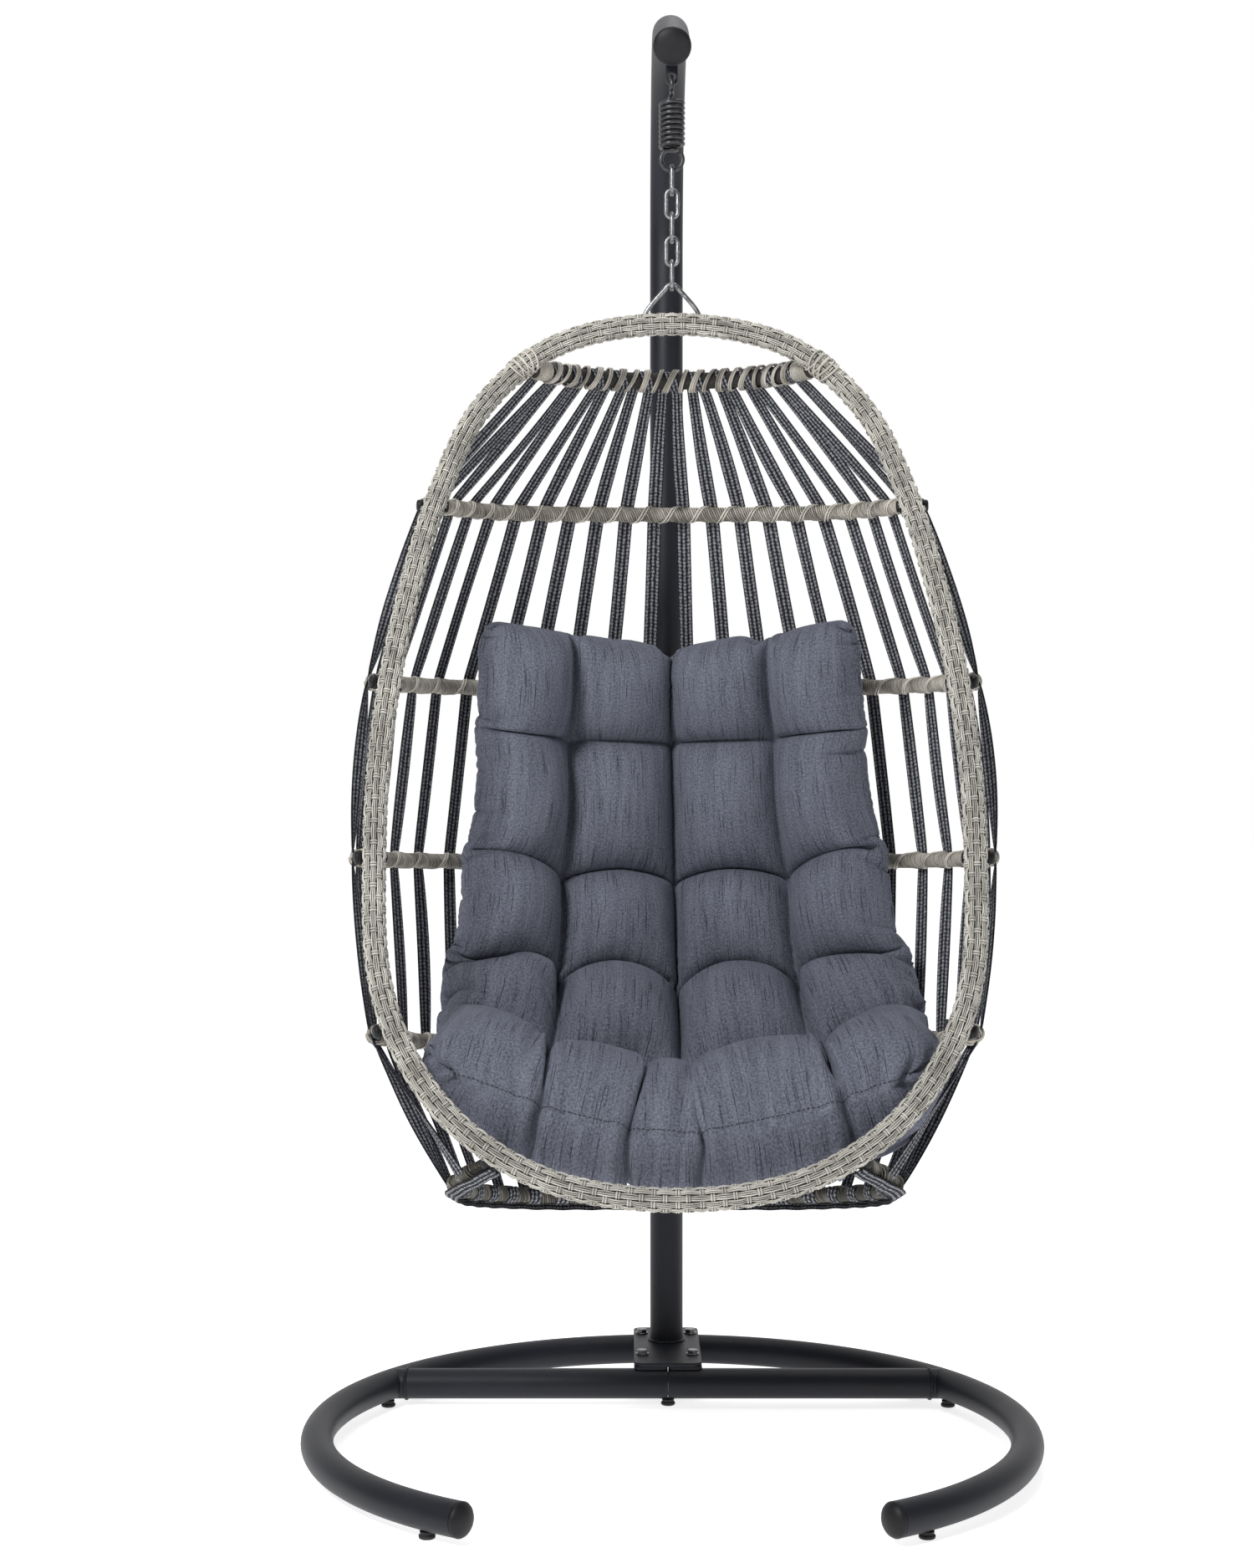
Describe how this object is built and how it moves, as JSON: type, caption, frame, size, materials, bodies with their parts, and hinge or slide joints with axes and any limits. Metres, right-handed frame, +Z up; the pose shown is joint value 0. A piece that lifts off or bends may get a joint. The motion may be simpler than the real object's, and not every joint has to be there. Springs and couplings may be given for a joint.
{
  "type": "hanging egg chair",
  "caption": "Garden swing seat: C-shaped tube base, arched pole, extension spring and chain, and an egg-shaped basket of wound bars and webbing straps with a tufted cushion.",
  "frame": {"origin": "on the floor, under the middle of the bounding box of the whole chair", "axes": "+Z up, the basket opens towards -Y, +X to the right seen from the front"},
  "size_m": [0.961, 0.886, 1.912],
  "materials": {
    "powder_coat": "satin",
    "black_plastic": "satin",
    "rubber_foot": "matte",
    "zinc": "satin",
    "spring_steel": "satin",
    "rattan": "matte",
    "webbing": "matte",
    "cushion_fabric": "matte"
  },
  "bodies": {
    "stand": {"arm_end_cap": "black_plastic", "base_end_cap_left": "black_plastic", "base_end_cap_right": "black_plastic", "base_half_left": "powder_coat", "base_half_right": "powder_coat", "cross_tube_joiner": "zinc", "foot_centre": "rubber_foot", "foot_left_1": "rubber_foot", "foot_left_2": "rubber_foot", "foot_left_3": "rubber_foot", "foot_right_1": "rubber_foot", "foot_right_2": "rubber_foot", "foot_right_3": "rubber_foot", "plate_bolt_left_1": "zinc", "plate_bolt_left_2": "zinc", "plate_bolt_right_1": "zinc", "plate_bolt_right_2": "zinc", "pole_joint_bolt": "zinc", "pole_lower": "powder_coat", "pole_upper": "powder_coat", "ring_joiner": "zinc"},
    "spring": {"spring": "spring_steel"},
    "link_1": {"chain_link_1": "zinc"},
    "link_2": {"chain_link_2": "zinc"},
    "link_3": {"chain_link_3": "zinc"},
    "link_4": {"chain_link_4": "zinc"},
    "link_5": {"chain_link_5": "zinc"},
    "basket": {"bottom_bar": "rattan", "crossbar_1": "rattan", "crossbar_2": "rattan", "crossbar_3": "rattan", "crossbar_4": "rattan", "cushion": "cushion_fabric", "hanger_vee": "zinc", "rib_bolt_left_1": "black_plastic", "rib_bolt_left_2": "black_plastic", "rib_bolt_left_3": "black_plastic", "rib_bolt_left_4": "black_plastic", "rib_bolt_left_5": "black_plastic", "rib_bolt_right_1": "black_plastic", "rib_bolt_right_2": "black_plastic", "rib_bolt_right_3": "black_plastic", "rib_bolt_right_4": "black_plastic", "rib_bolt_right_5": "black_plastic", "rim": "rattan", "strap_1": "webbing", "strap_10": "webbing", "strap_11": "webbing", "strap_2": "webbing", "strap_3": "webbing", "strap_4": "webbing", "strap_5": "webbing", "strap_6": "webbing", "strap_7": "webbing", "strap_8": "webbing", "strap_9": "webbing", "top_bar": "rattan"}
  },
  "joints": [
    {"name": "spring_swing", "type": "hinge", "parent": "stand", "child": "spring", "pos_m": [0, -0.07796, 1.788], "axis": [1, 0, 0], "range_deg": [-14, 2.5]},
    {"name": "spring_stretch", "type": "slide", "parent": "spring", "child": "link_1", "axis": [0, 0, -1], "range_m": [0, 0.04], "stiffness_N_per_m": 20000, "springref_m": -0.015, "deforming": ["spring"]},
    {"name": "chain_side_swing", "type": "hinge", "parent": "link_1", "child": "link_2", "pos_m": [0, -0.07796, 1.6371], "axis": [0, 1, 0], "range_deg": [-12, 12]},
    {"name": "chain_twist_upper", "type": "hinge", "parent": "link_2", "child": "link_3", "pos_m": [0, -0.07796, 1.6117], "axis": [0, 0, 1], "range_deg": [-15, 15]},
    {"name": "chain_fore_aft", "type": "hinge", "parent": "link_3", "child": "link_4", "pos_m": [0, -0.07796, 1.581], "axis": [1, 0, 0], "range_deg": [-8, 1.5]},
    {"name": "chain_twist_lower", "type": "hinge", "parent": "link_4", "child": "link_5", "pos_m": [0, -0.07796, 1.5503], "axis": [0, 0, 1], "range_deg": [-15, 15]},
    {"name": "basket_nod", "type": "hinge", "parent": "link_5", "child": "basket", "pos_m": [0, -0.07796, 1.5201], "axis": [1, 0, 0], "range_deg": [-6, 1]}
  ]
}
